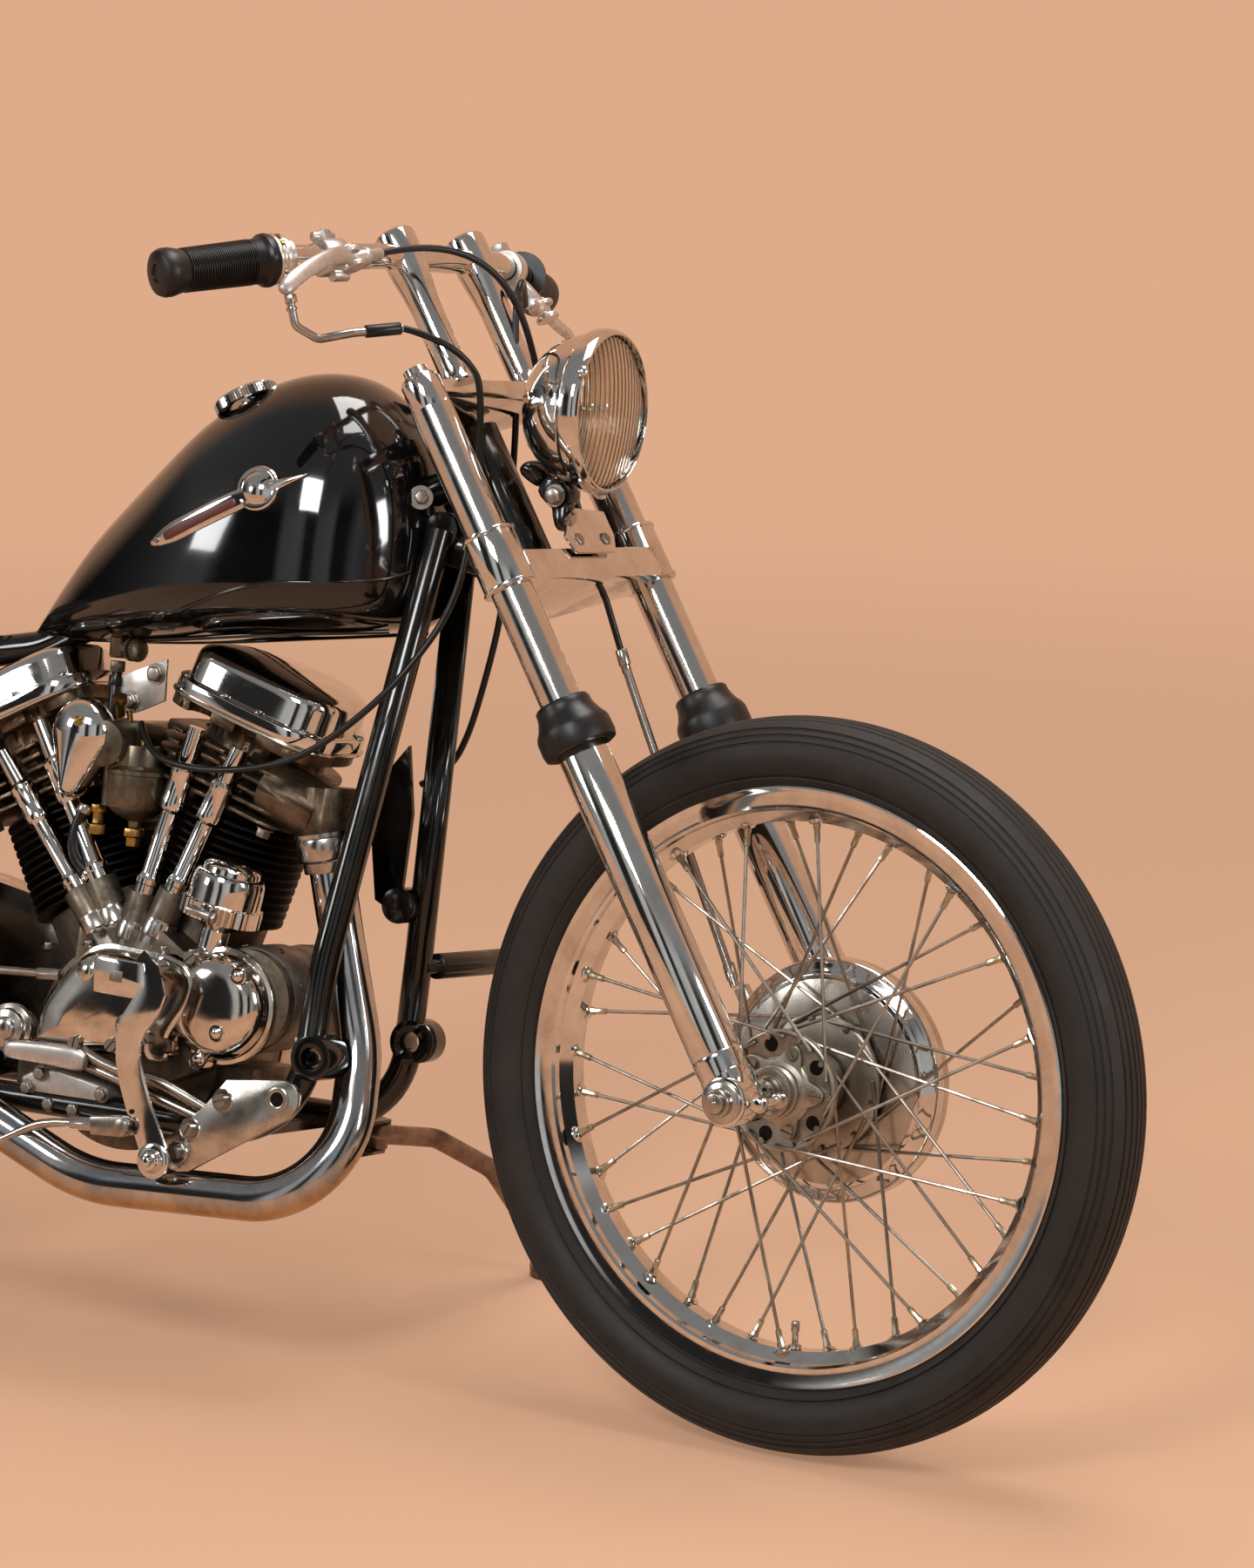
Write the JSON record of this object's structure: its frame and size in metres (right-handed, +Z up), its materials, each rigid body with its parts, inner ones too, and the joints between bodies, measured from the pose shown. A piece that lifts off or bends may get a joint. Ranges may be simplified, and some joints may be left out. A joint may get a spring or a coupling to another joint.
{
  "type": "chopper motorcycle",
  "caption": "Chopper motorcycle parked on its side stand: rigid tube frame, air-cooled vee twin, raked telescopic fork, spoked wheels, teardrop tank.",
  "frame": {"origin": "middle of the underside of the parked machine's box, on the ground", "axes": "+X forward, +Y to the machine's left, +Z up"},
  "size_m": [2.2258, 0.704, 1.1301],
  "materials": {
    "gloss_black": "gloss enamel",
    "chrome": "bright chrome plate",
    "polished_aluminium": "polished",
    "cast_aluminium": "as cast, oil-stained",
    "black_iron": "stove black",
    "bare_steel": "zinc plate, dulled",
    "tyre_rubber": "matt",
    "grip_rubber": "ribbed, matt",
    "seat_leather": "black, grained",
    "lens_glass": "fluted",
    "cable_sheath": "black sheath"
  },
  "bodies": {
    "frame": {"frame_spine": "gloss_black", "frame_left_side": "gloss_black", "frame_right_side": "gloss_black", "frame_braces": "gloss_black", "fuel_tank": "gloss_black", "tank_caps": "chrome", "fuel_tap": "bare_steel", "seat_cushion": "seat_leather", "seat_pan": "gloss_black", "rear_fender": "gloss_black", "oil_tank": "gloss_black", "battery": "gloss_black", "crankcase": "cast_aluminium", "cam_cover": "chrome", "cylinders": "black_iron", "cylinder_heads": "cast_aluminium", "rocker_covers": "chrome", "pushrod_tubes": "chrome", "timer": "chrome", "generator": "polished_aluminium", "carburettor": "cast_aluminium", "air_cleaner": "chrome", "exhaust_pipes": "chrome", "muffler": "chrome", "primary_cover": "gloss_black", "gearbox": "cast_aluminium", "drive_chain": "black_iron", "rear_axle": "bare_steel", "tail_lamp": "gloss_black", "control_plate": "chrome", "brake_pedal": "chrome", "left_foot_peg": "bare_steel", "clutch_booster": "gloss_black", "throttle_cable": "cable_sheath"},
    "fork": {"lower_tree": "chrome", "top_tree": "chrome", "fork_tubes": "chrome", "fork_boots": "grip_rubber", "fork_sliders": "chrome", "risers": "chrome", "handlebar": "chrome", "grips": "grip_rubber", "hand_levers": "polished_aluminium", "front_axle": "bare_steel", "front_brake_plate": "polished_aluminium", "headlamp_shell": "chrome", "headlamp_lens": "lens_glass", "brake_cable": "cable_sheath"},
    "front_wheel": {"front_tyre": "tyre_rubber", "front_rim": "chrome", "front_hub": "polished_aluminium", "front_spokes": "bare_steel"},
    "rear_wheel": {"rear_tyre": "tyre_rubber", "rear_rim": "chrome", "rear_hub": "polished_aluminium", "rear_spokes": "bare_steel"},
    "side_stand": {"side_stand": "gloss_black"}
  },
  "joints": [
    {"name": "steering", "type": "hinge", "parent": "frame", "child": "fork", "pos_m": [0.72482, -0.13283, 0.3241], "axis": [-0.5284, 0.162, 0.8334], "range_deg": [-24.3, 35.7]},
    {"name": "front_wheel_spin", "type": "hinge", "parent": "fork", "child": "front_wheel", "pos_m": [0.76292, -0.1327, 0.34824], "axis": [0.0843, 0.9868, -0.1383], "continuous": true},
    {"name": "rear_wheel_spin", "type": "hinge", "parent": "frame", "child": "rear_wheel", "pos_m": [-0.73689, -0.13137, 0.33157], "axis": [0, 0.9816, -0.1908], "continuous": true},
    {"name": "side_stand_fold", "type": "hinge", "parent": "frame", "child": "side_stand", "pos_m": [0.22911, -0.01686, 0.19748], "axis": [0.1442, 0.175, 0.974], "range_deg": [0, 107.15]}
  ]
}
